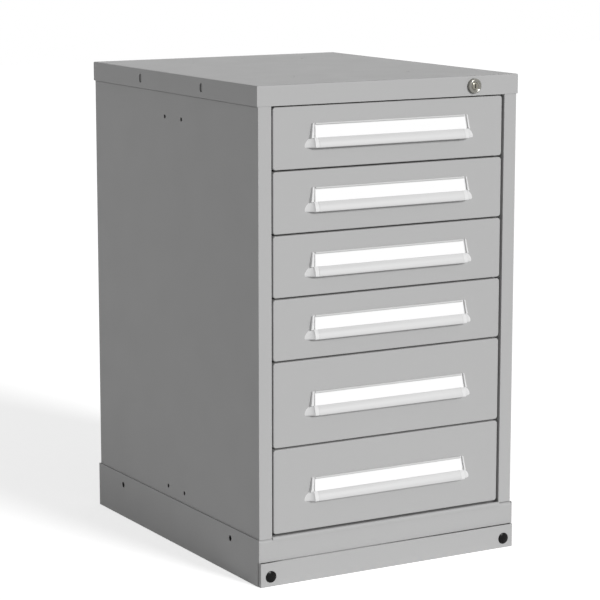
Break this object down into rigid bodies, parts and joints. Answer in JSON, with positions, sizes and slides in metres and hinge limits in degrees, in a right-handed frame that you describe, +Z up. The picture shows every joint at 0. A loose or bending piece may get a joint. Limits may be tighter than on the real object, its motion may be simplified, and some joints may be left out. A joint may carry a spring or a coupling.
{
  "type": "microscope slide cabinet",
  "caption": "Floor-standing grey steel slide cabinet with full-extension drawers, label handles, a lift base with a front cover and a gang lock.",
  "frame": {"origin": "on the floor, at the middle of the overall box", "axes": "+Z up, +Y from the drawer fronts to the back, +X to the right seen from the front"},
  "size_m": [0.573, 0.705, 0.9368],
  "materials": {
    "housing_enamel": "semi-gloss baked enamel, light grey",
    "drawer_enamel": "semi-gloss baked enamel, light grey",
    "handle_aluminium": "brushed along its length, clear anodised",
    "handle_end_plastic": "moulded, silver grey",
    "label_card": "bare white card",
    "black_plastic": "moulded, glossy black",
    "zinc_steel": "zinc plated",
    "lock_chrome": "bright nickel",
    "lock_brass": "nickelled, slightly warm"
  },
  "bodies": {
    "housing": {"top_cap": "housing_enamel", "left_side": "housing_enamel", "right_side": "housing_enamel", "back_panel": "housing_enamel", "floor_pan": "housing_enamel", "base_left": "housing_enamel", "base_right": "housing_enamel", "base_front_rail": "housing_enamel", "base_back": "housing_enamel", "base_front_cover": "housing_enamel", "cover_plugs": "black_plastic", "front_uprights": "zinc_steel", "rear_uprights": "zinc_steel", "runner_channels_left": "zinc_steel", "runner_channels_right": "zinc_steel", "lock_cylinder": "lock_chrome"},
    "key_plug": {"lock_plug": "lock_brass"},
    "locking_bar": {"lock_bar": "zinc_steel"},
    "drawer_1": {"drawer_front_1": "drawer_enamel", "drawer_tray_1": "drawer_enamel", "slide_dividers_1": "drawer_enamel", "handle_1": "handle_aluminium", "handle_ends_1": "handle_end_plastic", "label_card_1": "label_card"},
    "carriage_1": {"carriage_1": "zinc_steel"},
    "drawer_2": {"drawer_front_2": "drawer_enamel", "drawer_tray_2": "drawer_enamel", "slide_dividers_2": "drawer_enamel", "handle_2": "handle_aluminium", "handle_ends_2": "handle_end_plastic", "label_card_2": "label_card"},
    "carriage_2": {"carriage_2": "zinc_steel"},
    "drawer_3": {"drawer_front_3": "drawer_enamel", "drawer_tray_3": "drawer_enamel", "slide_dividers_3": "drawer_enamel", "handle_3": "handle_aluminium", "handle_ends_3": "handle_end_plastic", "label_card_3": "label_card"},
    "carriage_3": {"carriage_3": "zinc_steel"},
    "drawer_4": {"drawer_front_4": "drawer_enamel", "drawer_tray_4": "drawer_enamel", "slide_dividers_4": "drawer_enamel", "handle_4": "handle_aluminium", "handle_ends_4": "handle_end_plastic", "label_card_4": "label_card"},
    "carriage_4": {"carriage_4": "zinc_steel"},
    "drawer_5": {"drawer_front_5": "drawer_enamel", "drawer_tray_5": "drawer_enamel", "slide_dividers_5": "drawer_enamel", "handle_5": "handle_aluminium", "handle_ends_5": "handle_end_plastic", "label_card_5": "label_card"},
    "carriage_5": {"carriage_5": "zinc_steel"},
    "drawer_6": {"drawer_front_6": "drawer_enamel", "drawer_tray_6": "drawer_enamel", "slide_dividers_6": "drawer_enamel", "handle_6": "handle_aluminium", "handle_ends_6": "handle_end_plastic", "label_card_6": "label_card"},
    "carriage_6": {"carriage_6": "zinc_steel"}
  },
  "joints": [
    {"name": "drawer_slide_1", "type": "slide", "parent": "housing", "child": "drawer_1", "axis": [0, -1, 0], "range_m": [0, 0.6]},
    {"name": "carriage_slide_1", "type": "slide", "parent": "housing", "child": "carriage_1", "axis": [0, -1, 0], "range_m": [0, 0.3]},
    {"name": "drawer_slide_2", "type": "slide", "parent": "housing", "child": "drawer_2", "axis": [0, -1, 0], "range_m": [0, 0.6]},
    {"name": "carriage_slide_2", "type": "slide", "parent": "housing", "child": "carriage_2", "axis": [0, -1, 0], "range_m": [0, 0.3]},
    {"name": "drawer_slide_3", "type": "slide", "parent": "housing", "child": "drawer_3", "axis": [0, -1, 0], "range_m": [0, 0.6]},
    {"name": "carriage_slide_3", "type": "slide", "parent": "housing", "child": "carriage_3", "axis": [0, -1, 0], "range_m": [0, 0.3]},
    {"name": "drawer_slide_4", "type": "slide", "parent": "housing", "child": "drawer_4", "axis": [0, -1, 0], "range_m": [0, 0.6]},
    {"name": "carriage_slide_4", "type": "slide", "parent": "housing", "child": "carriage_4", "axis": [0, -1, 0], "range_m": [0, 0.3]},
    {"name": "drawer_slide_5", "type": "slide", "parent": "housing", "child": "drawer_5", "axis": [0, -1, 0], "range_m": [0, 0.6]},
    {"name": "carriage_slide_5", "type": "slide", "parent": "housing", "child": "carriage_5", "axis": [0, -1, 0], "range_m": [0, 0.3]},
    {"name": "drawer_slide_6", "type": "slide", "parent": "housing", "child": "drawer_6", "axis": [0, -1, 0], "range_m": [0, 0.6]},
    {"name": "carriage_slide_6", "type": "slide", "parent": "housing", "child": "carriage_6", "axis": [0, -1, 0], "range_m": [0, 0.3]},
    {"name": "lock_turn", "type": "hinge", "parent": "housing", "child": "key_plug", "pos_m": [0.184, -0.34255, 0.9176], "axis": [0, 1, 0], "range_deg": [0, 90]},
    {"name": "locking_bar_drop", "type": "slide", "parent": "housing", "child": "locking_bar", "axis": [0, 0, -1], "range_m": [0, 0.009]}
  ],
  "couplings": [
    {"joint": "carriage_slide_1", "follows": "drawer_slide_1", "ratio": 0.5},
    {"joint": "carriage_slide_2", "follows": "drawer_slide_2", "ratio": 0.5},
    {"joint": "carriage_slide_3", "follows": "drawer_slide_3", "ratio": 0.5},
    {"joint": "carriage_slide_4", "follows": "drawer_slide_4", "ratio": 0.5},
    {"joint": "carriage_slide_5", "follows": "drawer_slide_5", "ratio": 0.5},
    {"joint": "carriage_slide_6", "follows": "drawer_slide_6", "ratio": 0.5},
    {"joint": "locking_bar_drop", "follows": "lock_turn", "m_per_rad": 0.00572}
  ]
}
